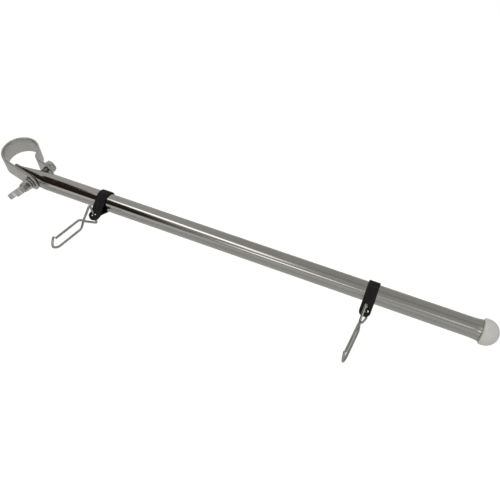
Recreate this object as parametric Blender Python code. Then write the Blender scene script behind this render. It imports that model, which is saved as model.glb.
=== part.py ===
"""A stainless flagstaff that clamps to a boat's rail.

A round tube is crushed at one end and bolted between the ears of a strap clamp, whose
ring goes round the rail.  Two strap bands with wire snaps hold the flag, and a plastic
cap closes the free end.

Frame: the origin is the centre of the clamp's ring, +Z is the ring's axis, and +X runs
along the staff from the clamp to the cap.  Lengths are given in millimetres times MM.
"""
import math

import bmesh
import bpy
from mathutils import Matrix, Vector

MM = 0.001
GAP = 0.3 * MM

# Staff: a 5/8 inch tube, 17 inches long, crushed at the clamp end
TUBE_D = 15.9 * MM
TUBE_WALL = 1.2 * MM
STAFF_Y = -17.0 * MM
TIP_X = 4.8 * MM
RIM_X = 428.5 * MM
CRUSH_LENGTH = 34.0 * MM
TONGUE_LENGTH = 8.0 * MM
TONGUE_THICKNESS = 2.5 * MM
TONGUE_HALF_HEIGHT = 9.2 * MM
TIP_CORNER_R = 4.0 * MM
BORE_START = 12.0 * MM
# the rim is belled out slightly to meet the cap: distance from the rim, growth in radius
BELL = ((9.0, 0.0), (6.0, 0.08), (3.5, 0.25), (1.6, 0.5), (0.0, 0.75))

# Clamp: one strip bent into a ring with two parallel ears, skewed to the staff
CLAMP_SKEW = math.radians(13.5)
RING_IN_R = 15.5 * MM
STRAP_T = 1.8 * MM
STRAP_W = 17.0 * MM
BACK_EAR_Y = 2.2 * MM
NECK_R = 8.0 * MM
BOLT_X = 30.6 * MM
EAR_OVERHANG = 8.5 * MM
EAR_HOLE_D = 6.6 * MM

# M6 fasteners
BOLT_D = 6.0 * MM
HEX_FLATS = 10.0 * MM
HEAD_T = 4.0 * MM
WASHER_D = 11.6 * MM
WASHER_HOLE_D = 6.6 * MM
WASHER_T = 1.4 * MM
BOSS_D = 10.0 * MM
BOSS_TOP_D = 8.6 * MM
BOSS_H = 8.0 * MM
WING_H = 19.0 * MM
WING_REACH = 16.0 * MM
WING_LOBE_R = 4.8 * MM
WING_T = 5.0 * MM
WING_TURN = math.radians(43.0)
BOLT_PAST_BOSS = 0.4 * MM

# Cap in the free end: a ball cut flat at the rim, on a ribbed spigot
BALL_R = 10.4 * MM
BALL_CENTRE = 3.5 * MM
BALL_LIP_R = 8.9 * MM
SPIGOT_LENGTH = 15.0 * MM
SPIGOT_CORE_R = 5.9 * MM

# Flag bands: a strap looped round the staff with both ends laid together as a tab
BAND_CENTRES = {"lower": 99.3 * MM, "upper": 343.0 * MM}
BAND_W = 9.2 * MM
BAND_T = 1.4 * MM
BAND_CLEARANCE = 0.15 * MM
TAB_START = 14.5 * MM
TAB_END = 22.4 * MM
TAB_PLY_GAP = 0.3 * MM
TAB_CORNER_R = 4.4 * MM
TAB_HOLE_D = 4.2 * MM
# each hole's centre from its band's middle and from the tube's axis
TAB_HOLES = {"lower": (-0.78 * MM, -17.52 * MM), "upper": (0.94 * MM, -17.63 * MM)}

# Wire snaps: a figure of eight, the small loop through the tab's hole
WIRE_D = 2.0 * MM
SNAP_BASE_HALF = 9.3 * MM
SNAP_CROSSING = 11.7 * MM
SNAP_LENGTH = 49.3 * MM
SNAP_LOOP_HALF = 4.05 * MM
# place of the small loop's straight side, its turn from -Y, its rise and its lean
SNAP_POSES = {
    "lower": ((98.2, -34.3, 0.9), 8.1, 10.8, 20.9),
    "upper": ((343.9, -34.6, 0.2), 4.5, 3.6, 10.8),
}

STEEL = (0.62, 0.62, 0.60, 1.0)
BAND_BLACK = (0.012, 0.012, 0.013, 1.0)
CAP_WHITE = (0.82, 0.81, 0.77, 1.0)


def clear_scene():
    for obj in list(bpy.data.objects):
        bpy.data.objects.remove(obj, do_unlink=True)


def material(name, colour, metallic, roughness):
    mat = bpy.data.materials.new(name)
    mat.use_nodes = True
    shader = mat.node_tree.nodes["Principled BSDF"]
    shader.inputs["Base Color"].default_value = colour
    shader.inputs["Metallic"].default_value = metallic
    shader.inputs["Roughness"].default_value = roughness
    return mat


def add_object(name, data, mat, parent=None, matrix=None):
    obj = bpy.data.objects.new(name, data)
    bpy.context.collection.objects.link(obj)
    if mat and not data.materials:
        data.materials.append(mat)
    obj.parent = parent
    if matrix:
        obj.matrix_local = matrix
    return obj


def add_empty(name, location=(0, 0, 0), turn=0.0):
    empty = bpy.data.objects.new(name, None)
    bpy.context.collection.objects.link(empty)
    empty.location = location
    empty.rotation_euler = (0, 0, turn)
    return empty


def mesh_from(name, verts, faces, sharp_deg=35):
    mesh = bpy.data.meshes.new(name)
    mesh.from_pydata([tuple(v) for v in verts], [], faces)
    tidy_mesh(mesh, sharp_deg)
    return mesh


def tidy_mesh(mesh, sharp_deg=35):
    work = bmesh.new()
    work.from_mesh(mesh)
    bmesh.ops.recalc_face_normals(work, faces=work.faces)
    work.to_mesh(mesh)
    work.free()
    mesh.shade_smooth()
    mesh.set_sharp_from_angle(angle=math.radians(sharp_deg))


def skin(rings):
    """Quads between successive closed rings of points."""
    count = len(rings[0])
    faces = []
    for i in range(len(rings) - 1):
        for k in range(count):
            n = (k + 1) % count
            faces.append((i * count + k, i * count + n, (i + 1) * count + n, (i + 1) * count + k))
    return faces


def lathe(name, profile, segments=48):
    """Turn a closed (radius, height) outline about local Z into a ring-shaped solid."""
    rings = []
    for radius, height in profile:
        ring = []
        for k in range(segments):
            a = 2 * math.pi * k / segments
            ring.append((radius * math.cos(a), radius * math.sin(a), height))
        rings.append(ring)
    rings.append(rings[0])
    faces = skin(rings)
    last = (len(rings) - 1) * segments
    faces = [tuple(v - last if v >= last else v for v in f) for f in faces]
    return mesh_from(name, [p for ring in rings[:-1] for p in ring], faces)


def solid_lathe(name, profile, segments=48):
    """Turn an open (radius, height) outline, whose ends are closed by flat discs."""
    rings = []
    for radius, height in profile:
        ring = []
        for k in range(segments):
            a = 2 * math.pi * k / segments
            ring.append((radius * math.cos(a), radius * math.sin(a), height))
        rings.append(ring)
    faces = skin(rings)
    last = (len(rings) - 1) * segments
    faces.append(tuple(range(segments)))
    faces.append(tuple(range(last, last + segments)))
    return mesh_from(name, [p for ring in rings for p in ring], faces)


def prism(name, outline, low, high):
    """Extrude a flat outline along local Z."""
    count = len(outline)
    verts = [(x, y, low) for x, y in outline] + [(x, y, high) for x, y in outline]
    faces = skin([verts[:count], verts[count:]])
    faces.append(tuple(range(count)))
    faces.append(tuple(range(count, 2 * count)))
    return mesh_from(name, verts, faces)


def arc(centre, radius, start, stop, steps):
    """Points on an arc, angles in degrees, both ends included."""
    points = []
    for i in range(steps + 1):
        a = math.radians(start + (stop - start) * i / steps)
        points.append((centre[0] + radius * math.cos(a), centre[1] + radius * math.sin(a)))
    return points


def offset_path(path, distance):
    """Shift an open path sideways, to the left of its direction."""
    shifted = []
    for i, point in enumerate(path):
        before = Vector(path[max(i - 1, 0)])
        after = Vector(path[min(i + 1, len(path) - 1)])
        here = Vector(point)
        into = (here - before).normalized() if i else (after - here).normalized()
        out = (after - here).normalized() if i < len(path) - 1 else into
        along = (into + out).normalized()
        left = Vector((-along.y, along.x))
        shifted.append(here + left * distance / max(along.dot(out), 0.5))
    return [tuple(p) for p in shifted]


def strip_outline(path, thickness):
    left = offset_path(path, thickness / 2)
    right = offset_path(path, -thickness / 2)
    return left + right[::-1]


def round_strip_ends(mesh, is_end_edge, radius, segments):
    work = bmesh.new()
    work.from_mesh(mesh)
    edges = [e for e in work.edges if is_end_edge(e.verts[0].co, e.verts[1].co)]
    bmesh.ops.bevel(work, geom=edges, offset=radius, segments=segments, profile=0.5, affect="EDGES")
    work.to_mesh(mesh)
    work.free()
    tidy_mesh(mesh)


def cut(obj, tool_mesh, parent=None, matrix=None, operation="DIFFERENCE"):
    tool = add_object(obj.name + "_tool", tool_mesh, None, parent, matrix)
    tool.hide_render = True
    tool.display_type = "WIRE"
    modifier = obj.modifiers.new("shape", "BOOLEAN")
    modifier.operation = operation
    modifier.solver = "EXACT"
    modifier.object = tool
    return tool


def cylinder(name, diameter, low, high, segments=32):
    return solid_lathe(name, [(diameter / 2, low), (diameter / 2, high)], segments)


# --- staff ---------------------------------------------------------------------------

def crush_section(s):
    """Near face, far face and half height of the tube, s from the tip, about its axis."""
    radius = TUBE_D / 2
    slope = math.tan(CLAMP_SKEW)
    near = -radius + slope * (CRUSH_LENGTH - s)
    tongue_far = -radius + slope * (CRUSH_LENGTH - TONGUE_LENGTH) + TONGUE_THICKNESS
    share = max(0.0, (s - TONGUE_LENGTH) / (CRUSH_LENGTH - TONGUE_LENGTH))
    far = near + TONGUE_THICKNESS if share == 0.0 else tongue_far + (radius - tongue_far) * share
    half = TONGUE_HALF_HEIGHT + (radius - TONGUE_HALF_HEIGHT) * share
    if s < TIP_CORNER_R:
        half -= TIP_CORNER_R - math.sqrt(TIP_CORNER_R ** 2 - (TIP_CORNER_R - s) ** 2)
    return near, far, half


def stadium(x, near, far, half, count=48):
    """A section with round top and bottom; it is a circle when half equals half the width."""
    middle = (near + far) / 2
    radius = (far - near) / 2
    ring = []
    for k in range(count):
        a = 2 * math.pi * (k + 0.5) / count
        rise = half - radius if math.sin(a) > 0 else radius - half
        ring.append((x, middle + radius * math.cos(a), rise + radius * math.sin(a)))
    return ring


def staff_mesh():
    radius = TUBE_D / 2
    stations = [0.0, 0.5, 1.2, 2.2, 4.0, 6.0, 8.0, 11.0, 15.0, 19.0, 23.0, 27.0, 30.5, 34.0]
    outer = [stadium(TIP_X + s * MM, *crush_section(s * MM)) for s in stations]
    inner = []
    for back, growth in BELL:
        x, r = RIM_X - back * MM, radius + growth * MM
        outer.append(stadium(x, -r, r, r))
        r -= TUBE_WALL
        inner.insert(0, stadium(x, -r, r, r))
    for s in reversed([v * MM for v in stations if v * MM > BORE_START]):
        near, far, half = crush_section(s)
        inner.append(stadium(TIP_X + s, near + TUBE_WALL, far - TUBE_WALL, half - TUBE_WALL))
    rings = outer + inner
    count = len(rings[0])
    faces = skin(rings)
    faces.append(tuple(range(count)))
    faces.append(tuple(range((len(rings) - 1) * count, len(rings) * count)))
    return mesh_from("staff_tube", [p for ring in rings for p in ring], faces)


def build_staff(tilt_axis, steel, to_staff):
    staff = add_object("staff_tube", staff_mesh(), steel, tilt_axis, to_staff)
    hole = cylinder("bolt_hole", 7.0 * MM, -25 * MM, 25 * MM)
    cut(staff, hole, tilt_axis, Matrix.Rotation(math.radians(-90), 4, "X"))
    return staff


def cap_profile():
    """Radius and height from the spigot's end to the ball's top."""
    bore_r = TUBE_D / 2 - TUBE_WALL - GAP
    points = [(SPIGOT_CORE_R - 1.0 * MM, -SPIGOT_LENGTH), (SPIGOT_CORE_R, -SPIGOT_LENGTH + 1.0 * MM)]
    for rib in (11.5, 8.0, 4.5):
        base = -rib * MM
        points += [(SPIGOT_CORE_R, base - 0.8 * MM), (bore_r, base), (bore_r, base + 0.7 * MM),
                   (SPIGOT_CORE_R, base + 1.0 * MM)]
    points += [(SPIGOT_CORE_R, GAP), (BALL_LIP_R, GAP)]
    first = math.degrees(math.asin((GAP + 0.6 * MM - BALL_CENTRE) / BALL_R))
    for i in range(15):
        a = math.radians(first + (88 - first) * i / 14)
        points.append((BALL_R * math.cos(a), BALL_CENTRE + BALL_R * math.sin(a)))
    return points


def build_cap(tilt_axis, white, to_staff):
    mesh = solid_lathe("end_cap", cap_profile())
    place = to_staff @ Matrix.Translation((RIM_X, 0, 0)) @ Matrix.Rotation(math.radians(90), 4, "Y")
    return add_object("end_cap", mesh, white, tilt_axis, place)


# --- clamp ---------------------------------------------------------------------------

def strap_path():
    """Centreline of the clamp's strip, in the clamp's own frame, bolt along local Y."""
    ring_r = RING_IN_R + STRAP_T / 2
    ear_end = BOLT_X + EAR_OVERHANG
    neck_x = math.sqrt((ring_r + NECK_R) ** 2 - (BACK_EAR_Y + NECK_R) ** 2)
    neck_deg = math.degrees(math.atan2(BACK_EAR_Y + NECK_R, neck_x))
    path = [(ear_end, -ring_r)]
    path += arc((0, 0), ring_r, -90, -360 + neck_deg, 40)
    path += arc((neck_x, BACK_EAR_Y + NECK_R), NECK_R, 180 + neck_deg, 270, 8)[1:]
    path.append((ear_end, BACK_EAR_Y))
    return path


def build_strap(clamp_frame, steel):
    outline = strip_outline(strap_path(), STRAP_T)
    mesh = prism("clamp_strap", outline, -STRAP_W / 2, STRAP_W / 2)
    ear_end = BOLT_X + EAR_OVERHANG

    def at_ear_end(a, b):
        on_end = abs(a.x - ear_end) < 1e-5 and abs(b.x - ear_end) < 1e-5
        return on_end and abs(a.z - b.z) < 1e-5

    round_strip_ends(mesh, at_ear_end, EAR_OVERHANG - 0.1 * MM, 8)
    strap = add_object("clamp_strap", mesh, steel, clamp_frame)
    hole = cylinder("ear_holes", EAR_HOLE_D, -25 * MM, 12 * MM)
    cut(strap, hole, clamp_frame, bolt_matrix(0.0))
    return strap


def bolt_matrix(y, outward=False):
    """Local Z along the bolt from its front end to its head, or the other way if outward."""
    turn = Matrix.Rotation(math.radians(90 if outward else -90), 4, "X")
    return Matrix.Translation((BOLT_X, y, 0)) @ turn


def front_stack():
    """Clamp-frame Y of the ear's outer face, the thumb washer's and the wing nut's seats."""
    ear_face = -(RING_IN_R + STRAP_T)
    washer_seat = ear_face - GAP
    nut_seat = washer_seat - WASHER_T - GAP
    return washer_seat, nut_seat


def washer_mesh(name):
    r_in, r_out, edge = WASHER_HOLE_D / 2, WASHER_D / 2, 0.25 * MM
    profile = [(r_in, 0), (r_out - edge, 0), (r_out, edge), (r_out, WASHER_T - edge),
               (r_out - edge, WASHER_T), (r_in, WASHER_T)]
    return lathe(name, profile, 36)


def build_bolt(clamp_frame, steel):
    _, nut_seat = front_stack()
    washer_back = BACK_EAR_Y + STRAP_T / 2 + GAP
    head_seat = washer_back + WASHER_T + GAP
    front_end = nut_seat - BOSS_H - BOLT_PAST_BOSS
    corner = HEX_FLATS / 2 / math.cos(math.radians(30))
    hexagon = [(corner * math.cos(math.radians(60 * k)), corner * math.sin(math.radians(60 * k)))
               for k in range(6)]
    bolt = add_object("clamp_bolt", prism("clamp_bolt", hexagon, head_seat, head_seat + HEAD_T),
                      steel, clamp_frame, bolt_matrix(0.0))
    chamfer = 0.6 * MM
    shank = solid_lathe("shank", [(BOLT_D / 2 - chamfer, front_end), (BOLT_D / 2, front_end + chamfer),
                                  (BOLT_D / 2, head_seat + HEAD_T / 2)], 32)
    cut(bolt, shank, clamp_frame, bolt_matrix(0.0), "UNION")
    return bolt


def build_washers(clamp_frame, steel):
    washer_seat, _ = front_stack()
    back_seat = BACK_EAR_Y + STRAP_T / 2 + GAP
    add_object("thumb_washer", washer_mesh("thumb_washer"), steel, clamp_frame,
               bolt_matrix(washer_seat, outward=True))
    add_object("head_washer", washer_mesh("head_washer"), steel, clamp_frame, bolt_matrix(back_seat))


def wing_outline():
    """One wing in (radius, height) from the boss to the lobe."""
    lobe = (WING_REACH - WING_LOBE_R, WING_H - WING_LOBE_R)
    points = [(1.5 * MM, 2.2 * MM), (5.6 * MM, 2.2 * MM), (8.6 * MM, 4.6 * MM)]
    points += arc(lobe, WING_LOBE_R, -50, 165, 14)
    points += [(4.3 * MM, 7.4 * MM), (1.5 * MM, 7.4 * MM)]
    return points


def build_wing_nut(clamp_frame, steel):
    _, nut_seat = front_stack()
    place = bolt_matrix(nut_seat, outward=True) @ Matrix.Rotation(WING_TURN, 4, "Z")
    r_in = WASHER_HOLE_D / 2
    boss = lathe("wing_nut", [(r_in, 0), (BOSS_D / 2, 0), (BOSS_D / 2, 1.5 * MM),
                              (BOSS_TOP_D / 2, BOSS_H - 0.6 * MM), (BOSS_TOP_D / 2 - 0.6 * MM, BOSS_H),
                              (r_in, BOSS_H)], 36)
    nut = add_object("wing_nut", boss, steel, clamp_frame, place)
    for side in (0, 180):
        plate = prism("wing", wing_outline(), -WING_T / 2, WING_T / 2)
        turn = Matrix.Rotation(math.radians(side), 4, "Z") @ Matrix.Rotation(math.radians(90), 4, "X")
        cut(nut, plate, clamp_frame, place @ turn, "UNION")
    bore = cylinder("bore", WASHER_HOLE_D, -2 * MM, BOSS_H + 2 * MM, 36)
    cut(nut, bore, clamp_frame, place)
    return nut


# --- flag bands and snaps --------------------------------------------------------------

def band_path():
    """Centreline of the looped strap: x is away from the tab, y is up, staff at (0, 0)."""
    loop_r = TUBE_D / 2 + BAND_CLEARANCE + BAND_T / 2
    ply = (BAND_T + TAB_PLY_GAP) / 2
    lead = math.degrees(math.acos((loop_r - ply) / TAB_START))
    upper = [(-TAB_END, ply), (-TAB_START - 2.0 * MM, ply), (-TAB_START, ply * 1.15)]
    start = 180 - lead
    loop = arc((0, 0), loop_r, start, start - 360 + 2 * (180 - start), 34)
    lower = [(x, -y) for x, y in reversed(upper)]
    return upper + loop + lower


def build_bands(tilt_axis, rubber, to_staff):
    outline = strip_outline(band_path(), BAND_T)
    mesh = prism("flag_band", outline, -BAND_W / 2, BAND_W / 2)

    def at_tab_end(a, b):
        on_end = abs(a.x + TAB_END) < 1e-5 and abs(b.x + TAB_END) < 1e-5
        return on_end and abs(a.z - b.z) < 1e-5

    round_strip_ends(mesh, at_tab_end, TAB_CORNER_R, 5)
    # profile x goes to the staff's +Y, profile y to +Z, and the width to +X
    upright = Matrix(((0, 0, 1, 0), (1, 0, 0, 0), (0, 1, 0, 0), (0, 0, 0, 1)))
    for key, x in BAND_CENTRES.items():
        place = to_staff @ Matrix.Translation((x, 0, 0))
        band = add_object("flag_band_" + key, mesh, rubber, tilt_axis, place @ upright)
        hole = cylinder("tab_hole", TAB_HOLE_D, -6 * MM, 6 * MM)
        cut(band, hole, tilt_axis, place @ Matrix.Translation((*TAB_HOLES[key], 0)))


def rounded(points, radius, steps=5):
    """Replace each inner corner of a 3-D path by a smooth bend."""
    path = [Vector(points[0])]
    for i in range(1, len(points) - 1):
        corner = Vector(points[i])
        back = Vector(points[i - 1]) - corner
        ahead = Vector(points[i + 1]) - corner
        reach = min(radius, back.length * 0.48, ahead.length * 0.48)
        first = corner + back.normalized() * reach
        last = corner + ahead.normalized() * reach
        for k in range(steps + 1):
            t = k / steps
            path.append((1 - t) ** 2 * first + 2 * t * (1 - t) * corner + t * t * last)
    path.append(Vector(points[-1]))
    return path


def snap_path():
    """Local frame: Z up the small loop's straight side, -Y out to the tip, X across."""
    base, half, over = SNAP_BASE_HALF, SNAP_LOOP_HALF, 1.08 * MM
    cross, tip = SNAP_CROSSING, SNAP_LENGTH
    points = [
        (0, tip - 5.6 * MM, half),
        (0, cross + 3.6 * MM, half),
        (over, cross, 0),
        (0, 0, -base),
        (0, 0, base),
        (-over, cross, 0),
        (0, cross + 5.4 * MM, -half),
        (0, tip - 4.6 * MM, -half),
        (0, tip, -0.3 * half),
        (0, tip - 0.6 * MM, 0.45 * half),
        (0, tip - 3.2 * MM, half + 1.1 * MM),
        (0, tip - 4.9 * MM, half + 2.25 * MM),
    ]
    return [Vector((x, -y, z)) for x, y, z in rounded(points, 2.6 * MM)]


def snap_matrix(key):
    """Place a snap: its -Y along the wire's length and its Z up the straight side."""
    place, turn, rise, lean = SNAP_POSES[key]
    turn, rise, lean = math.radians(turn), math.radians(rise), math.radians(lean)
    out = Vector((-math.sin(turn) * math.cos(rise), -math.cos(turn) * math.cos(rise), math.sin(rise)))
    up = Vector((0, 0, 1)) - out * out.z
    up.normalize()
    side = out.cross(up)
    up_leaning = math.cos(lean) * up + math.sin(lean) * side
    across = up_leaning.cross(out)
    frame = Matrix((across, -out, up_leaning)).transposed().to_4x4()
    return Matrix.Translation(Vector(place) * MM) @ frame


def wire_mesh(name, path, radius, sides=12):
    """Sweep a circle along a 3-D path, carrying its frame along without twist."""
    tangents = []
    for i in range(len(path)):
        tangents.append((path[min(i + 1, len(path) - 1)] - path[max(i - 1, 0)]).normalized())
    normal = tangents[0].orthogonal().normalized()
    rings = []
    for i, point in enumerate(path):
        normal = (normal - tangents[i] * normal.dot(tangents[i])).normalized()
        other = tangents[i].cross(normal)
        rings.append([point + radius * (math.cos(a) * normal + math.sin(a) * other)
                      for a in (2 * math.pi * k / sides for k in range(sides))])
    faces = skin(rings)
    last = (len(rings) - 1) * sides
    faces.append(tuple(range(sides)))
    faces.append(tuple(range(last, last + sides)))
    return mesh_from(name, [p for ring in rings for p in ring], faces)


def build_snaps(tilt_axis, wire_steel):
    mesh = wire_mesh("wire_snap", snap_path(), WIRE_D / 2)
    for key in SNAP_POSES:
        place = tilt_axis.matrix_basis.inverted() @ snap_matrix(key)
        add_object("wire_snap_" + key, mesh, wire_steel, tilt_axis, place)


def main():
    clear_scene()
    polished = material("polished_stainless", STEEL, 1.0, 0.12)
    satin = material("satin_stainless", STEEL, 1.0, 0.32)
    wire = material("wire_stainless", STEEL, 1.0, 0.2)
    rubber = material("black_strap", BAND_BLACK, 0.0, 0.75)
    white = material("white_cap", CAP_WHITE, 0.0, 0.4)

    clamp_frame = add_empty("clamp_frame", turn=-CLAMP_SKEW)
    build_strap(clamp_frame, satin)
    build_bolt(clamp_frame, polished)
    build_washers(clamp_frame, polished)
    build_wing_nut(clamp_frame, polished)

    bolt_middle = Vector((BOLT_X, -(RING_IN_R - BACK_EAR_Y) / 2, 0))
    bolt_middle.rotate(Matrix.Rotation(-CLAMP_SKEW, 3, "Z"))
    tilt_axis = add_empty("tilt_axis", bolt_middle, -CLAMP_SKEW)
    bpy.context.view_layer.update()
    to_staff = tilt_axis.matrix_basis.inverted() @ Matrix.Translation((0, STAFF_Y, 0))
    build_staff(tilt_axis, polished, to_staff)
    build_cap(tilt_axis, white, to_staff)
    build_bands(tilt_axis, rubber, to_staff)
    build_snaps(tilt_axis, wire)


main()
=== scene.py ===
"""Looks for a stainless flagstaff that clamps to a boat's rail."""

import math

import bmesh
import bpy
from mathutils import Matrix, Vector


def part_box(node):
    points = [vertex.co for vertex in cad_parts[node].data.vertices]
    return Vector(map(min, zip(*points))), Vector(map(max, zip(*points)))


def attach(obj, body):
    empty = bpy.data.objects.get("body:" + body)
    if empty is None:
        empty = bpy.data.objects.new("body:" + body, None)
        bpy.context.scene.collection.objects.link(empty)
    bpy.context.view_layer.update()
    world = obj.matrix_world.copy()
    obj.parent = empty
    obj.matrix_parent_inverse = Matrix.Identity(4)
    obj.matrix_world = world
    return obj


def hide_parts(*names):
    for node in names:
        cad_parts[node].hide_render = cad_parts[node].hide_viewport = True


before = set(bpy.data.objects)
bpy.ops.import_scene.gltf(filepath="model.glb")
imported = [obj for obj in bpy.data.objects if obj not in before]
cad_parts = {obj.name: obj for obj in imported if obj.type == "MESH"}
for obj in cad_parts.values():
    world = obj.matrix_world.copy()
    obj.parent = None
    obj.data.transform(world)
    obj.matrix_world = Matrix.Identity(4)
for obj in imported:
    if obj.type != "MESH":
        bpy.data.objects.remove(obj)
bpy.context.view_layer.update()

MM = 0.001
GAP = 0.3 * MM

# Staff: a round tube, crushed flat at the clamp end and belled out a little at its rim
TUBE_R = 7.95 * MM
TUBE_WALL = 1.2 * MM
TIP_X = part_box("staff_tube")[0].x
RIM_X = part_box("staff_tube")[1].x
STAFF_Y = (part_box("end_cap")[0].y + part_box("end_cap")[1].y) / 2
CRUSH_LENGTH = 34.0 * MM
TONGUE_LENGTH = 8.0 * MM
TONGUE_THICKNESS = 2.5 * MM
TONGUE_HALF_HEIGHT = 9.2 * MM
TIP_CORNER_R = 4.0 * MM
BORE_START = 12.0 * MM
# distance from the rim and growth in radius, in millimetres
BELL_GROWTH = 0.75
BELL = ((9.0, 0.0), (6.0, 0.08), (3.5, 0.25), (1.6, 0.5), (0.35, 0.72))

# Clamp: one strip bent into a ring with two parallel ears, skewed to the staff
CLAMP_SKEW = math.radians(13.5)
RING_IN_R = 15.5 * MM
STRAP_T = 1.8 * MM
STRAP_W = 17.0 * MM
BACK_EAR_Y = 2.2 * MM
NECK_R = 8.0 * MM
BOLT_X = 30.6 * MM
EAR_OVERHANG = 8.5 * MM
HOLE_R = 3.3 * MM

# M6 fasteners
BOLT_R = 3.0 * MM
PITCH = 1.0 * MM
THREAD_DEPTH = 0.42 * MM
HEX_FLATS = 10.0 * MM
HEAD_T = 4.0 * MM
WASHER_R = 5.8 * MM
WASHER_T = 1.4 * MM
BOSS_R = 5.0 * MM
BOSS_TOP_R = 4.3 * MM
BOSS_H = 8.0 * MM
WING_H = 19.0 * MM
WING_REACH = 16.0 * MM
WING_LOBE_R = 4.8 * MM
WING_T = 5.0 * MM
WING_TURN = math.radians(43.0)
BOLT_PAST_BOSS = 0.4 * MM

# Cap: a ball cut flat at the rim, on a ribbed spigot
BALL_R = 10.4 * MM
BALL_CENTRE = 3.5 * MM
BALL_LIP_R = 8.9 * MM
SPIGOT_LENGTH = 15.0 * MM
SPIGOT_R = 5.9 * MM

# Flag bands: a strap looped round the staff with both ends laid together as a tab
BAND_W = 9.2 * MM
BAND_T = 1.4 * MM
BAND_CLEARANCE = 0.15 * MM
TAB_START = 14.5 * MM
TAB_END = 22.4 * MM
TAB_PLY_GAP = 0.3 * MM
TAB_CORNER_R = 4.4 * MM
TAB_HOLE_R = 2.1 * MM
# each hole's centre from its band's middle and from the tube's axis
TAB_HOLES = {"lower": (-0.78 * MM, -17.52 * MM), "upper": (0.94 * MM, -17.63 * MM)}

# Wire snaps: a figure of eight, the small loop through the tab's hole
WIRE_R = 1.0 * MM
SNAP_BASE_HALF = 9.3 * MM
SNAP_CROSSING = 11.7 * MM
SNAP_LENGTH = 49.3 * MM
SNAP_HALF = 4.05 * MM
# place of the small loop's straight side in mm, its turn from -Y, its rise and its lean
SNAP_POSES = {
    "lower": ((98.2, -34.3, 0.9), 8.1, 10.8, 20.9),
    "upper": ((343.9, -34.6, 0.2), 4.5, 3.6, 10.8),
}

# Stage: a bright floor low enough for the staff to swing down clear of it, and a soft room
FLOOR_SIZE = 8.0
FLOOR_DEPTH = 0.47
FLOOR_GLOW = 0.85
WALL = 0.45
DARK = 0.02
LAMP_AT = (0.15, -0.2, 1.5)
LAMP_SIZE = 1.6
LAMP_POWER = 6.0
CAMERA_AT = (0.3521, -0.2848, 0.40515)
CAMERA_TILT = math.radians(35.71)
CAMERA_TURN = math.radians(22.99)
CAMERA_LENS = 43.2

CLAMP = Matrix.Rotation(-CLAMP_SKEW, 4, "Z")
STAFF = Matrix.Translation((0, STAFF_Y, 0))


# --- mesh helpers --------------------------------------------------------------------

def skin(rings):
    """Quads between successive closed rings of points."""
    count = len(rings[0])
    faces = []
    for i in range(len(rings) - 1):
        for k in range(count):
            n = (k + 1) % count
            faces.append((i * count + k, i * count + n, (i + 1) * count + n, (i + 1) * count + k))
    return faces


def tidy(mesh, sharp_deg=40):
    work = bmesh.new()
    work.from_mesh(mesh)
    bmesh.ops.recalc_face_normals(work, faces=work.faces)
    work.to_mesh(mesh)
    work.free()
    mesh.shade_smooth()
    mesh.set_sharp_from_angle(angle=math.radians(sharp_deg))


def solid(name, rings, matrix=None, capped=True, sharp_deg=40):
    """An object skinned over closed rings of points, with flat ends."""
    faces = skin(rings)
    count = len(rings[0])
    if capped:
        faces.append(tuple(range(count)))
        faces.append(tuple(range((len(rings) - 1) * count, len(rings) * count)))
    mesh = bpy.data.meshes.new(name)
    mesh.from_pydata([tuple(p) for ring in rings for p in ring], [], faces)
    if matrix:
        mesh.transform(matrix)
    tidy(mesh, sharp_deg)
    piece = bpy.data.objects.new(name, mesh)
    bpy.context.scene.collection.objects.link(piece)
    return piece


def lathe(name, profile, segments=96, matrix=None, closed=False):
    """Turn a (radius, height) outline about local Z; a closed outline makes a ring."""
    rings = []
    for radius, height in profile + (profile[:1] if closed else []):
        rings.append([(radius * math.cos(a), radius * math.sin(a), height)
                      for a in (2 * math.pi * k / segments for k in range(segments))])
    piece = solid(name, rings, matrix, capped=not closed)
    if closed:
        weld(piece)
    return piece


def weld(piece):
    """Join the first and last rings of a closed lathe."""
    work = bmesh.new()
    work.from_mesh(piece.data)
    bmesh.ops.remove_doubles(work, verts=work.verts, dist=1e-7)
    work.to_mesh(piece.data)
    work.free()
    tidy(piece.data)


def prism(name, outline, low, high, matrix=None):
    rings = [[(x, y, z) for x, y in outline] for z in (low, high)]
    return solid(name, rings, matrix)


def arc(centre, radius, start, stop, steps):
    """Points on an arc, angles in degrees, both ends included."""
    points = []
    for i in range(steps + 1):
        a = math.radians(start + (stop - start) * i / steps)
        points.append((centre[0] + radius * math.cos(a), centre[1] + radius * math.sin(a)))
    return points


def offset_path(path, distance):
    """Shift an open path sideways, to the left of its direction."""
    shifted = []
    for i, point in enumerate(path):
        before = Vector(path[max(i - 1, 0)])
        after = Vector(path[min(i + 1, len(path) - 1)])
        here = Vector(point)
        into = (here - before).normalized() if i else (after - here).normalized()
        out = (after - here).normalized() if i < len(path) - 1 else into
        along = (into + out).normalized()
        left = Vector((-along.y, along.x))
        shifted.append(here + left * distance / max(along.dot(out), 0.5))
    return [tuple(p) for p in shifted]


def strip_outline(path, thickness):
    return offset_path(path, thickness / 2) + offset_path(path, -thickness / 2)[::-1]


def apply_modifiers(piece, sharp_deg=40):
    graph = bpy.context.evaluated_depsgraph_get()
    mesh = bpy.data.meshes.new_from_object(piece.evaluated_get(graph))
    piece.modifiers.clear()
    piece.data = mesh
    tidy(mesh, sharp_deg)


def combine(piece, tool, operation):
    """Boolean that uses up the tool."""
    modifier = piece.modifiers.new("shape", "BOOLEAN")
    modifier.operation = operation
    modifier.solver = "EXACT"
    modifier.object = tool
    apply_modifiers(piece)
    bpy.data.objects.remove(tool)


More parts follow.
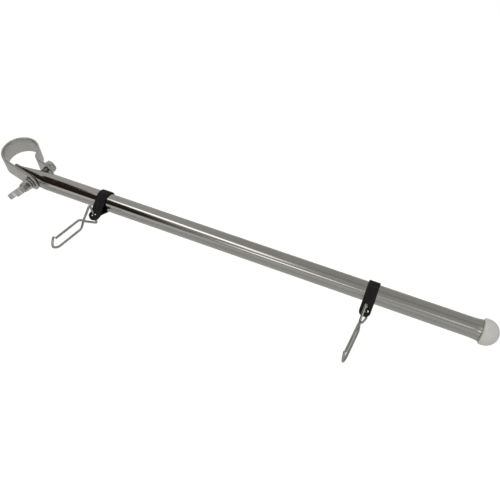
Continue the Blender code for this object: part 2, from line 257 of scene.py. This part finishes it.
def bevel(piece, width, segments, angle):
    """Soften edges sharper than angle, in degrees."""
    modifier = piece.modifiers.new("edges", "BEVEL")
    modifier.width = width
    modifier.segments = segments
    modifier.limit_method = "ANGLE"
    modifier.angle_limit = math.radians(angle)
    modifier.use_clamp_overlap = True
    apply_modifiers(piece, 30)


def round_ends(piece, is_end_edge, radius, segments):
    """Round the corners of a strip whose edges the test picks out."""
    work = bmesh.new()
    work.from_mesh(piece.data)
    edges = [e for e in work.edges if is_end_edge(e.verts[0].co, e.verts[1].co)]
    bmesh.ops.bevel(work, geom=edges, offset=radius, segments=segments, profile=0.5, affect="EDGES")
    work.to_mesh(piece.data)
    work.free()
    tidy(piece.data)


def finish_piece(piece, material, body, node):
    """Give a piece its material, tie it to its body and hide the CAD node it replaces."""
    piece.data.materials.clear()
    piece.data.materials.append(material)
    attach(piece, body)
    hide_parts(node)


# --- materials -----------------------------------------------------------------------

class Shader:
    """A small builder for a node material on object coordinates."""

    def __init__(self, name):
        self.material = bpy.data.materials.new(name)
        self.material.use_nodes = True
        self.tree = self.material.node_tree
        self.principled = self.tree.nodes["Principled BSDF"]
        self.coords = self.tree.nodes.new("ShaderNodeTexCoord").outputs["Object"]

    def link(self, source, target):
        self.tree.links.new(source, target)

    def set(self, **values):
        for key, value in values.items():
            self.principled.inputs[key.replace("_", " ")].default_value = value

    def noise(self, scale, stretch=(1, 1, 1), detail=4.0):
        mapping = self.tree.nodes.new("ShaderNodeMapping")
        mapping.inputs["Scale"].default_value = stretch
        texture = self.tree.nodes.new("ShaderNodeTexNoise")
        texture.inputs["Scale"].default_value = scale
        texture.inputs["Detail"].default_value = detail
        self.link(self.coords, mapping.inputs["Vector"])
        self.link(mapping.outputs["Vector"], texture.inputs["Vector"])
        return texture.outputs["Fac"]

    def ramp(self, source, stops):
        """Map a factor through (position, value or colour) stops."""
        node = self.tree.nodes.new("ShaderNodeValToRGB")
        elements = node.color_ramp.elements
        while len(elements) < len(stops):
            elements.new(0.5)
        for element, (place, value) in zip(elements, stops):
            element.position = place
            colour = value if isinstance(value, tuple) else (value, value, value)
            element.color = (*colour, 1.0)
        self.link(source, node.inputs["Fac"])
        return node.outputs["Color"]

    def math(self, operation, a, b):
        node = self.tree.nodes.new("ShaderNodeMath")
        node.operation = operation
        for socket, value in zip(node.inputs, (a, b)):
            if isinstance(value, float):
                socket.default_value = value
            else:
                self.link(value, socket)
        return node.outputs["Value"]

    def mix(self, factor, a, b):
        node = self.tree.nodes.new("ShaderNodeMix")
        node.data_type = "RGBA"
        for socket, value in ((node.inputs[0], factor), (node.inputs[6], a), (node.inputs[7], b)):
            if isinstance(value, (float, tuple)):
                socket.default_value = value if isinstance(value, float) else (*value, 1.0)
            else:
                self.link(value, socket)
        return node.outputs[2]

    def along_x(self, low, high):
        """0 at x = low to 1 at x = high."""
        split = self.tree.nodes.new("ShaderNodeSeparateXYZ")
        self.link(self.coords, split.inputs[0])
        node = self.tree.nodes.new("ShaderNodeMapRange")
        node.inputs["From Min"].default_value = low
        node.inputs["From Max"].default_value = high
        self.link(split.outputs["X"], node.inputs["Value"])
        return node.outputs["Result"]

    def edge_wear(self, low, high):
        """0 on flats to 1 on raised edges."""
        geometry = self.tree.nodes.new("ShaderNodeNewGeometry")
        return self.ramp(geometry.outputs["Pointiness"], [(low, 0.0), (high, 1.0)])

    def bump(self, height, strength, distance):
        node = self.tree.nodes.new("ShaderNodeBump")
        node.inputs["Strength"].default_value = strength
        node.inputs["Distance"].default_value = distance
        self.link(height, node.inputs["Height"])
        self.link(node.outputs["Normal"], self.principled.inputs["Normal"])

    def colour(self, source):
        self.link(source, self.principled.inputs["Base Color"])

    def roughness(self, source):
        self.link(source, self.principled.inputs["Roughness"])


GRAIN_BUMP = 0.03


def steel(name, dark, light, rough, grain, grain_scale):
    """Stainless steel with a fine directional grain, faint stains and small scratches."""
    s = Shader(name)
    s.set(Metallic=1.0)
    stains = s.noise(55.0, detail=3.0)
    lines = s.noise(grain_scale, grain, 3.0)
    scratches = s.noise(grain_scale * 0.35, grain, 5.0)
    tint = s.ramp(stains, [(0.3, dark), (0.7, light)])
    s.colour(s.mix(s.ramp(lines, [(0.35, 0.0), (0.65, 0.07)]), tint, tuple(c * 0.8 for c in dark)))
    base = s.ramp(lines, [(0.3, rough[0]), (0.7, rough[1])])
    s.roughness(s.math("ADD", base, s.ramp(scratches, [(0.6, 0.0), (0.7, 0.04)])))
    s.bump(s.math("ADD", lines, scratches), GRAIN_BUMP, 0.02 * MM)
    return s.material


def tube_steel():
    """Polished tube, mirror bright at the clamp and more hazed towards the cap."""
    s = Shader("polished tube")
    s.set(Metallic=1.0)
    stains = s.noise(40.0, (0.4, 1, 1), 4.0)
    lines = s.noise(700.0, (0.03, 1, 1), 3.0)
    scuffs = s.noise(260.0, (0.12, 1, 1), 6.0)
    tint = s.ramp(stains, [(0.3, (0.41, 0.402, 0.382)), (0.7, (0.45, 0.445, 0.428))])
    s.colour(s.mix(s.ramp(scuffs, [(0.58, 0.0), (0.72, 0.14)]), tint, (0.30, 0.295, 0.28)))
    haze = s.ramp(s.along_x(0.03, 0.43), [(0.0, 0.05), (0.35, 0.07), (0.62, 0.11), (1.0, 0.15)])
    fine = s.ramp(lines, [(0.3, 0.0), (0.7, 0.05)])
    s.roughness(s.math("ADD", s.math("ADD", haze, fine), s.ramp(scuffs, [(0.6, 0.0), (0.75, 0.08)])))
    s.bump(lines, 0.03, 0.01 * MM)
    return s.material


def strap_rubber():
    """Black coated strap with a fine pebble and paler rubbed edges."""
    s = Shader("black strap")
    s.set(Metallic=0.0, Specular_IOR_Level=0.22)
    pebble = s.noise(1500.0, (1, 1, 1), 3.0)
    patches = s.noise(180.0, (1, 1, 1), 4.0)
    tint = s.ramp(patches, [(0.3, (0.007, 0.007, 0.008)), (0.7, (0.018, 0.0175, 0.018))])
    s.colour(s.mix(s.edge_wear(0.53, 0.62), tint, (0.04, 0.039, 0.038)))
    s.roughness(s.ramp(pebble, [(0.3, 0.62), (0.7, 0.9)]))
    s.bump(pebble, 0.45, 0.12 * MM)
    return s.material


def cap_plastic():
    """Off-white moulded plastic with a warmer tone near the rim."""
    s = Shader("white cap")
    s.set(Metallic=0.0, Specular_IOR_Level=0.35)
    cloud = s.noise(120.0, (1, 1, 1), 4.0)
    skin_texture = s.noise(1400.0, (1, 1, 1), 2.0)
    cool = s.ramp(cloud, [(0.3, (0.64, 0.645, 0.64)), (0.7, (0.71, 0.715, 0.705))])
    near_rim = s.ramp(s.along_x(RIM_X, RIM_X + 9 * MM), [(0.0, 0.8), (1.0, 0.0)])
    s.colour(s.mix(near_rim, cool, (0.72, 0.71, 0.62)))
    s.roughness(s.ramp(cloud, [(0.3, 0.38), (0.7, 0.52)]))
    s.bump(skin_texture, 0.15, 0.05 * MM)
    return s.material


# --- staff ---------------------------------------------------------------------------

def crush_section(s):
    """Near face, far face and half height of the tube, s from the tip, about its axis."""
    slope = math.tan(CLAMP_SKEW)
    near = -TUBE_R + slope * (CRUSH_LENGTH - s)
    tongue_far = -TUBE_R + slope * (CRUSH_LENGTH - TONGUE_LENGTH) + TONGUE_THICKNESS
    share = max(0.0, (s - TONGUE_LENGTH) / (CRUSH_LENGTH - TONGUE_LENGTH))
    far = near + TONGUE_THICKNESS if share == 0.0 else tongue_far + (TUBE_R - tongue_far) * share
    half = TONGUE_HALF_HEIGHT + (TUBE_R - TONGUE_HALF_HEIGHT) * share
    if s < TIP_CORNER_R:
        half -= TIP_CORNER_R - math.sqrt(TIP_CORNER_R ** 2 - (TIP_CORNER_R - s) ** 2)
    return near, far, half


def eased_section(s):
    """The crushed section, with its bends eased over a few millimetres."""
    reach = min(2.0 * MM, s, max(CRUSH_LENGTH + 2.0 * MM - s, 0.0))
    samples = [min(s + reach * k / 3, CRUSH_LENGTH) for k in range(-3, 4)]
    sections = [crush_section(v) for v in samples]
    return [sum(values) / len(sections) for values in zip(*sections)]


def stadium(x, near, far, half, count=128):
    """A section with round top and bottom; it is a circle when half equals half the width."""
    middle = (near + far) / 2
    radius = (far - near) / 2
    ring = []
    for k in range(count):
        a = 2 * math.pi * (k + 0.5) / count
        rise = half - radius if math.sin(a) > 0 else radius - half
        ring.append((x, middle + radius * math.cos(a), rise + radius * math.sin(a)))
    return ring


def build_staff():
    """The tube, hollow from the rim to its crushed end, with the bolt's hole."""
    stations = [0.0, 0.2, 0.5, 0.9, 1.4, 2.0, 2.7, 3.4] + [4.0 + 0.8 * i for i in range(41)]
    outer = []
    for s in stations:
        near, far, half = eased_section(s * MM)
        edge = 0.25 * MM if s == 0.0 else 0.0
        outer.append(stadium(TIP_X + s * MM, near + edge, far - edge, half - edge))
    inner = []
    for back, growth in BELL:
        x, r = RIM_X - back * MM, TUBE_R + growth * MM
        outer.append(stadium(x, -r, r, r))
        inner.insert(0, stadium(x, -r + TUBE_WALL, r - TUBE_WALL, r - TUBE_WALL))
    r = TUBE_R + BELL_GROWTH * MM
    for inset in (0.25 * MM, TUBE_WALL - 0.25 * MM):
        outer.append(stadium(RIM_X, -r + inset, r - inset, r - inset))
    for s in reversed([v * MM for v in stations if v * MM > BORE_START]):
        near, far, half = eased_section(s)
        inner.append(stadium(TIP_X + s, near + TUBE_WALL, far - TUBE_WALL, half - TUBE_WALL))
    staff = solid("staff", outer + inner, STAFF, sharp_deg=50)
    place = CLAMP @ bolt_place(0.0)
    combine(staff, lathe("hole", [(3.5 * MM, -25 * MM), (3.5 * MM, 25 * MM)], 48, place), "DIFFERENCE")
    return staff


def build_cap():
    """Ball with a flat lip on a ribbed spigot."""
    bore_r = TUBE_R - TUBE_WALL - GAP
    points = [(SPIGOT_R - 1.0 * MM, -SPIGOT_LENGTH), (SPIGOT_R, -SPIGOT_LENGTH + 1.0 * MM)]
    for rib in (11.5, 8.0, 4.5):
        base = -rib * MM
        points += [(SPIGOT_R, base - 0.8 * MM), (bore_r, base), (bore_r, base + 0.7 * MM),
                   (SPIGOT_R, base + 1.0 * MM)]
    points += [(SPIGOT_R, GAP), (BALL_LIP_R - 0.3 * MM, GAP), (BALL_LIP_R, GAP + 0.12 * MM)]
    first = math.degrees(math.asin((GAP + 0.7 * MM - BALL_CENTRE) / BALL_R))
    for i in range(41):
        a = math.radians(first + (89.2 - first) * i / 40)
        points.append((BALL_R * math.cos(a), BALL_CENTRE + BALL_R * math.sin(a)))
    place = STAFF @ Matrix.Translation((RIM_X, 0, 0)) @ Matrix.Rotation(math.radians(90), 4, "Y")
    return lathe("cap", points, 120, place)


# --- clamp ---------------------------------------------------------------------------

def bolt_place(y, outward=False):
    """Local Z along the bolt from its front end to its head, or the other way if outward."""
    turn = Matrix.Rotation(math.radians(90 if outward else -90), 4, "X")
    return Matrix.Translation((BOLT_X, y, 0)) @ turn


def build_strap():
    """The clamp's strip, with rounded ears and softened edges."""
    ring_r = RING_IN_R + STRAP_T / 2
    ear_end = BOLT_X + EAR_OVERHANG
    neck_x = math.sqrt((ring_r + NECK_R) ** 2 - (BACK_EAR_Y + NECK_R) ** 2)
    neck_deg = math.degrees(math.atan2(BACK_EAR_Y + NECK_R, neck_x))
    path = [(ear_end, -ring_r), (ear_end * 0.6, -ring_r)]
    path += arc((0, 0), ring_r, -90, -360 + neck_deg, 110)
    path += arc((neck_x, BACK_EAR_Y + NECK_R), NECK_R, 180 + neck_deg, 270, 20)[1:]
    path += [(ear_end, BACK_EAR_Y)]
    strap = prism("rail_strap", strip_outline(path, STRAP_T), -STRAP_W / 2, STRAP_W / 2)

    def at_ear_end(a, b):
        on_end = abs(a.x - ear_end) < 1e-5 and abs(b.x - ear_end) < 1e-5
        return on_end and abs(a.z - b.z) < 1e-5

    round_ends(strap, at_ear_end, EAR_OVERHANG - 0.1 * MM, 16)
    hole = lathe("hole", [(HOLE_R, -25 * MM), (HOLE_R, 12 * MM)], 48, bolt_place(0.0))
    combine(strap, hole, "DIFFERENCE")
    bevel(strap, 0.4 * MM, 3, 50)
    strap.data.transform(CLAMP)
    return strap


def front_stack():
    """Clamp-frame Y of the thumb washer's and the wing nut's seats."""
    washer_seat = -(RING_IN_R + STRAP_T) - GAP
    nut_seat = washer_seat - WASHER_T - GAP
    return washer_seat, nut_seat


def thread(name, low, high):
    """A shank with a real helical thread, pointed slightly at its free end."""
    segments, per_pitch = 48, 8
    rows = int((high - low) / PITCH * per_pitch)
    rings = []
    for j in range(rows + 1):
        z = low + (high - low) * j / rows
        taper = min(1.0, 0.78 + 0.22 * (z - low) / (0.8 * MM))
        ring = []
        for k in range(segments):
            phase = (z / PITCH + k / segments) % 1.0
            depth = abs(phase - 0.5) * 2
            radius = (BOLT_R - THREAD_DEPTH * min(1.0, max(0.0, depth * 1.3 - 0.1))) * taper
            a = 2 * math.pi * k / segments
            ring.append((radius * math.cos(a), radius * math.sin(a), z))
        rings.append(ring)
    return solid(name, rings, sharp_deg=75)


def build_bolt():
    """A threaded shank with a chamfered hexagon head."""
    _, nut_seat = front_stack()
    head_seat = BACK_EAR_Y + STRAP_T / 2 + GAP + WASHER_T + GAP
    front_end = nut_seat - BOSS_H - BOLT_PAST_BOSS
    corner = HEX_FLATS / 2 / math.cos(math.radians(30))
    hexagon = [(corner * math.cos(math.radians(60 * k)), corner * math.sin(math.radians(60 * k)))
               for k in range(6)]
    head = prism("head", hexagon, head_seat, head_seat + HEAD_T)
    turned = [(corner - 0.5 * MM, head_seat), (corner, head_seat + 0.35 * MM),
              (corner, head_seat + HEAD_T - 0.8 * MM), (HEX_FLATS / 2 - 0.2 * MM, head_seat + HEAD_T)]
    combine(head, lathe("turned", turned, 72), "INTERSECT")
    bevel(head, 0.15 * MM, 2, 25)
    bolt = thread("bolt", front_end, head_seat + 0.5 * MM)
    combine(bolt, head, "UNION")
    bolt.data.transform(CLAMP @ bolt_place(0.0))
    return bolt


def build_washer(name, place):
    edge = 0.3 * MM
    profile = [(HOLE_R, 0.1 * MM), (HOLE_R + 0.1 * MM, 0.0)]
    profile += [(r, z) for r, z in arc((WASHER_R - edge, edge), edge, -90, 0, 4)]
    profile += [(r, z) for r, z in arc((WASHER_R - edge, WASHER_T - edge), edge, 0, 90, 4)]
    profile += [(HOLE_R + 0.1 * MM, WASHER_T), (HOLE_R, WASHER_T - 0.1 * MM)]
    return lathe(name, profile, 96, CLAMP @ place, closed=True)


def build_wing_nut():
    """Boss and two wings, blended together as in a casting."""
    _, nut_seat = front_stack()
    nut = lathe("winged_nut", [(BOSS_R - 0.3 * MM, 0), (BOSS_R, 0.3 * MM), (BOSS_R, 1.5 * MM),
                             (BOSS_TOP_R, BOSS_H - 0.6 * MM), (BOSS_TOP_R - 0.6 * MM, BOSS_H)], 72)
    lobe = (WING_REACH - WING_LOBE_R, WING_H - WING_LOBE_R)
    outline = [(1.5 * MM, 2.2 * MM), (5.6 * MM, 2.2 * MM), (8.6 * MM, 4.6 * MM)]
    outline += arc(lobe, WING_LOBE_R, -50, 165, 24)
    outline += [(4.3 * MM, 7.4 * MM), (1.5 * MM, 7.4 * MM)]
    for side in (0, 180):
        turn = Matrix.Rotation(math.radians(side), 4, "Z") @ Matrix.Rotation(math.radians(90), 4, "X")
        combine(nut, prism("wing", outline, -WING_T / 2, WING_T / 2, turn), "UNION")
    remesh = nut.modifiers.new("cast", "REMESH")
    remesh.mode = "VOXEL"
    remesh.voxel_size = 0.28 * MM
    smooth = nut.modifiers.new("fillet", "SMOOTH")
    smooth.factor = 0.5
    smooth.iterations = 14
    apply_modifiers(nut, 60)
    hole = lathe("bore", [(HOLE_R, -2 * MM), (HOLE_R, BOSS_H + 2 * MM)], 64)
    combine(nut, hole, "DIFFERENCE")
    place = bolt_place(nut_seat, outward=True) @ Matrix.Rotation(WING_TURN, 4, "Z")
    nut.data.transform(CLAMP @ place)
    return nut


# --- flag bands and snaps ------------------------------------------------------------

def build_band(key):
    """A looped strap with a rounded tab and a hole for its snap."""
    low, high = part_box("flag_band_" + key)
    loop_r = TUBE_R + BAND_CLEARANCE + BAND_T / 2
    ply = (BAND_T + TAB_PLY_GAP) / 2
    lead = math.degrees(math.acos((loop_r - ply) / TAB_START))
    upper = [(-TAB_END, ply), (-TAB_START - 2.0 * MM, ply), (-TAB_START, ply * 1.15)]
    loop = arc((0, 0), loop_r, 180 - lead, -180 + lead, 90)
    path = upper + loop + [(x, -y) for x, y in reversed(upper)]
    band = prism("flag_strap_" + key, strip_outline(path, BAND_T), -BAND_W / 2, BAND_W / 2)

    def at_tab_end(a, b):
        on_end = abs(a.x + TAB_END) < 1e-5 and abs(b.x + TAB_END) < 1e-5
        return on_end and abs(a.z - b.z) < 1e-5

    round_ends(band, at_tab_end, TAB_CORNER_R, 10)
    upright = Matrix(((0, 0, 1, 0), (1, 0, 0, 0), (0, 1, 0, 0), (0, 0, 0, 1)))
    band.data.transform(upright)
    place = Matrix.Translation((*TAB_HOLES[key], 0))
    combine(band, lathe("hole", [(TAB_HOLE_R, -6 * MM), (TAB_HOLE_R, 6 * MM)], 48, place), "DIFFERENCE")
    bevel(band, 0.42 * MM, 3, 50)
    band.data.transform(STAFF @ Matrix.Translation(((low.x + high.x) / 2, 0, 0)))
    return band


def rounded(points, radius, steps=10):
    """Replace each inner corner of a 3-D path by a smooth bend."""
    path = [Vector(points[0])]
    for i in range(1, len(points) - 1):
        corner = Vector(points[i])
        back = Vector(points[i - 1]) - corner
        ahead = Vector(points[i + 1]) - corner
        reach = min(radius, back.length * 0.48, ahead.length * 0.48)
        first = corner + back.normalized() * reach
        last = corner + ahead.normalized() * reach
        for k in range(steps + 1):
            t = k / steps
            path.append((1 - t) ** 2 * first + 2 * t * (1 - t) * corner + t * t * last)
    path.append(Vector(points[-1]))
    return path


def snap_path():
    """Local frame: Z up the small loop's straight side, -Y out to the tip, X across."""
    base, half, over = SNAP_BASE_HALF, SNAP_HALF, 1.08 * MM
    cross, tip = SNAP_CROSSING, SNAP_LENGTH
    points = [
        (0, tip - 5.6 * MM, half),
        (0, cross + 3.6 * MM, half),
        (over, cross, 0),
        (0, 0, -base),
        (0, 0, base),
        (-over, cross, 0),
        (0, cross + 5.4 * MM, -half),
        (0, tip - 4.6 * MM, -half),
        (0, tip, -0.3 * half),
        (0, tip - 0.6 * MM, 0.45 * half),
        (0, tip - 3.2 * MM, half + 1.1 * MM),
        (0, tip - 4.9 * MM, half + 2.25 * MM),
    ]
    return [Vector((x, -y, z)) for x, y, z in rounded(points, 2.6 * MM)]


def snap_matrix(key):
    """Place a snap: its -Y along the wire's length and its Z up the straight side."""
    place, turn, rise, lean = SNAP_POSES[key]
    turn, rise, lean = math.radians(turn), math.radians(rise), math.radians(lean)
    out = Vector((-math.sin(turn) * math.cos(rise), -math.cos(turn) * math.cos(rise), math.sin(rise)))
    up = Vector((0, 0, 1)) - out * out.z
    up.normalize()
    side = out.cross(up)
    up_leaning = math.cos(lean) * up + math.sin(lean) * side
    across = up_leaning.cross(out)
    turned = Matrix((across, -out, up_leaning)).transposed().to_4x4()
    return Matrix.Translation(Vector(place) * MM) @ turned


def build_snap(key, sides=20):
    """Round wire with softly rounded cut ends."""
    path = snap_path()
    tangents = []
    for i in range(len(path)):
        tangents.append((path[min(i + 1, len(path) - 1)] - path[max(i - 1, 0)]).normalized())
    normal = tangents[0].orthogonal().normalized()
    rings = []
    for i, point in enumerate(path):
        normal = (normal - tangents[i] * normal.dot(tangents[i])).normalized()
        other = tangents[i].cross(normal)
        around = [math.cos(a) * normal + math.sin(a) * other
                  for a in (2 * math.pi * k / sides for k in range(sides))]
        if i in (0, len(path) - 1):
            inward = tangents[i] * (1 if i == 0 else -1)
            steps = [(0.0, 0.62), (0.12, 0.86), (0.35, 1.0)]
            for back, share in steps if i == 0 else steps[::-1]:
                centre = point + inward * back * WIRE_R
                rings.append([centre + WIRE_R * share * d for d in around])
        else:
            rings.append([point + WIRE_R * d for d in around])
    return solid("snap_" + key, rings, snap_matrix(key), sharp_deg=60)


# --- everything together -------------------------------------------------------------

def build_pieces():
    """Every piece with its material, its body and its CAD node."""
    satin = steel("satin strap", (0.48, 0.47, 0.455), (0.54, 0.53, 0.515), (0.24, 0.30),
                  (0.05, 0.05, 1), 1100.0)
    fastener = steel("fastener steel", (0.36, 0.36, 0.335), (0.50, 0.50, 0.475), (0.19, 0.25),
                     (1, 1, 1), 500.0)
    cast = steel("wing nut steel", (0.52, 0.52, 0.505), (0.58, 0.58, 0.56), (0.20, 0.26),
                 (1, 1, 1), 160.0)
    wire = steel("wire steel", (0.34, 0.34, 0.325), (0.50, 0.50, 0.485), (0.16, 0.28),
                 (1, 0.12, 1), 900.0)
    finish_piece(build_staff(), tube_steel(), "staff", "staff_tube")
    finish_piece(build_cap(), cap_plastic(), "cap", "end_cap")
    finish_piece(build_strap(), satin, "clamp", "clamp_strap")
    finish_piece(build_bolt(), fastener, "clamp", "clamp_bolt")
    washer_seat, _ = front_stack()
    thumb = build_washer("front_washer", bolt_place(washer_seat, outward=True))
    finish_piece(thumb, fastener, "thumb_washer", "thumb_washer")
    back = build_washer("back_washer", bolt_place(BACK_EAR_Y + STRAP_T / 2 + GAP))
    finish_piece(back, fastener, "clamp", "head_washer")
    finish_piece(build_wing_nut(), cast, "wing_nut", "wing_nut")
    black = strap_rubber()
    for key in SNAP_POSES:
        band = build_band(key)
        finish_piece(band, black, key + "_band", "flag_band_" + key)
        finish_piece(build_snap(key), wire, key + "_snap", "wire_snap_" + key)


def build_floor():
    """A wide pale floor, low enough for the staff to swing down clear of it."""
    mesh = bpy.data.meshes.new("floor")
    size, z = FLOOR_SIZE, -FLOOR_DEPTH
    mesh.from_pydata([(-size, -size, z), (size, -size, z), (size, size, z), (-size, size, z)],
                     [], [(0, 1, 2, 3)])
    material = bpy.data.materials.new("floor")
    material.use_nodes = True
    tree = material.node_tree
    tree.nodes.clear()
    output = tree.nodes.new("ShaderNodeOutputMaterial")
    diffuse = tree.nodes.new("ShaderNodeBsdfDiffuse")
    diffuse.inputs["Color"].default_value = (0.9, 0.9, 0.9, 1)
    glow = tree.nodes.new("ShaderNodeEmission")
    glow.inputs["Strength"].default_value = FLOOR_GLOW
    faint = tree.nodes.new("ShaderNodeBsdfDiffuse")
    faint.inputs["Color"].default_value = (0.3, 0.3, 0.3, 1)
    add = tree.nodes.new("ShaderNodeAddShader")
    pick = tree.nodes.new("ShaderNodeMixShader")
    path = tree.nodes.new("ShaderNodeLightPath")
    tree.links.new(faint.outputs[0], add.inputs[0])
    tree.links.new(glow.outputs[0], add.inputs[1])
    tree.links.new(path.outputs["Is Camera Ray"], pick.inputs[0])
    tree.links.new(diffuse.outputs[0], pick.inputs[1])
    tree.links.new(add.outputs[0], pick.inputs[2])
    tree.links.new(pick.outputs[0], output.inputs[0])
    mesh.materials.append(material)
    floor = bpy.data.objects.new("floor", mesh)
    bpy.context.scene.collection.objects.link(floor)


def build_world():
    """A room of soft light: pale walls, a dark patch overhead to the left, one strip light."""
    world = bpy.data.worlds.new("studio")
    bpy.context.scene.world = world
    world.use_nodes = True
    tree = world.node_tree
    tree.nodes.clear()

    def node(kind, **values):
        made = tree.nodes.new(kind)
        for key, value in values.items():
            setattr(made, key, value)
        return made

    def calc(operation, *values, clamp=False):
        made = node("ShaderNodeMath", operation=operation, use_clamp=clamp)
        for socket, value in zip(made.inputs, values):
            if isinstance(value, (int, float)):
                socket.default_value = value
            else:
                tree.links.new(value, socket)
        return made.outputs[0]

    def band(value, centre, half, soft):
        """1 within half of centre, fading to 0 over soft."""
        away = calc("ABSOLUTE", calc("SUBTRACT", value, centre))
        return calc("DIVIDE", calc("SUBTRACT", half + soft, away), soft, clamp=True)

    def step(value, start, end):
        """0 at start to 1 at end."""
        return calc("DIVIDE", calc("SUBTRACT", value, start), end - start, clamp=True)

    coords = node("ShaderNodeTexCoord")
    split = node("ShaderNodeSeparateXYZ")
    tree.links.new(coords.outputs["Generated"], split.inputs[0])
    x, y, z = split.outputs
    # angle about the X axis: 0 level in front, 90 overhead, 180 level behind
    angle = calc("MULTIPLY", calc("ARCTAN2", z, calc("MULTIPLY", y, -1.0)), 180 / math.pi)
    left = calc("MULTIPLY", x, -1.0)

    # dark patch from 31 degrees up to an edge that falls away to the right
    edge = calc("ADD", 62.0, calc("MULTIPLY", step(left, 0.36, 0.52), 52.0))
    above = step(angle, 24.0, 31.0)
    below = calc("DIVIDE", calc("SUBTRACT", edge, angle), 8.0, clamp=True)
    patch = calc("MULTIPLY", calc("MULTIPLY", above, below), step(left, 0.28, 0.40))

    wall = calc("ADD", WALL, calc("MULTIPLY", step(left, 0.25, 0.6), 0.20))
    front = calc("MULTIPLY", calc("SUBTRACT", 1.0, step(angle, 20.0, 31.0)), 0.18)
    base = calc("ADD", wall, front)
    lit = calc("ADD", calc("MULTIPLY", base, calc("SUBTRACT", 1.0, patch)), DARK)

    # a slanted strip light, and a weaker one lower in front
    centre = calc("ADD", 89.5, calc("MULTIPLY", calc("SUBTRACT", 0.42, left), -80.0))
    off = calc("SUBTRACT", angle, centre)
    strip = calc("MULTIPLY", band(off, 0.0, 6.0, 4.0), step(left, 0.17, 0.22))
    strip = calc("MULTIPLY", strip, calc("SUBTRACT", 1.0, step(left, 0.44, 0.49)))
    low = calc("MULTIPLY", band(angle, 43.0, 3.0, 3.0), step(left, 0.03, 0.16))
    low = calc("MULTIPLY", low, calc("SUBTRACT", 1.0, step(left, 0.23, 0.30)))
    far = calc("MULTIPLY", band(angle, 50.0, 3.5, 4.0), step(left, 0.0, -0.10))
    total = calc("ADD", lit, calc("MULTIPLY", strip, 2.2))
    total = calc("ADD", total, calc("MULTIPLY", low, 2.4))
    total = calc("ADD", total, calc("MULTIPLY", far, 1.0))

    dip = calc("MULTIPLY", band(angle, 102.0, 5.0, 9.0), step(left, 0.22, 0.10))
    total = calc("SUBTRACT", total, calc("MULTIPLY", dip, 0.11))

    colour = node("ShaderNodeCombineColor")
    for socket, share, warmth in zip(colour.inputs, (1.0, 0.985, 0.94), (0.014, 0.002, -0.004)):
        tree.links.new(calc("ADD", calc("MULTIPLY", total, share), calc("MULTIPLY", patch, warmth)),
                       socket)
    seen = node("ShaderNodeBackground")
    seen.inputs["Color"].default_value = (0.93, 0.93, 0.93, 1)
    light = node("ShaderNodeBackground")
    tree.links.new(colour.outputs[0], light.inputs["Color"])
    pick = node("ShaderNodeMixShader")
    path = node("ShaderNodeLightPath")
    output = node("ShaderNodeOutputWorld")
    tree.links.new(path.outputs["Is Camera Ray"], pick.inputs[0])
    tree.links.new(light.outputs[0], pick.inputs[1])
    tree.links.new(seen.outputs[0], pick.inputs[2])
    tree.links.new(pick.outputs[0], output.inputs[0])


def build_soft_light():
    """A broad lamp above that lights the floor and plastics without a mirror image."""
    data = bpy.data.lights.new("soft", "AREA")
    data.shape = "DISK"
    data.size = LAMP_SIZE
    data.energy = LAMP_POWER
    lamp = bpy.data.objects.new("soft", data)
    bpy.context.scene.collection.objects.link(lamp)
    lamp.location = LAMP_AT
    lamp.visible_glossy = False
    lamp.visible_camera = False


def build_camera():
    """The viewing angle of the product shot."""
    camera = bpy.data.objects.new("camera", bpy.data.cameras.new("camera"))
    bpy.context.scene.collection.objects.link(camera)
    camera.location = CAMERA_AT
    camera.rotation_euler = (CAMERA_TILT, 0, CAMERA_TURN)
    camera.data.sensor_width = 36.0
    camera.data.lens = CAMERA_LENS
    camera.data.shift_y = 0.0012
    camera.data.clip_start = 0.01
    bpy.context.scene.camera = camera


bpy.context.scene.view_settings.view_transform = "Standard"
build_camera()
build_pieces()
build_floor()
build_soft_light()
build_world()
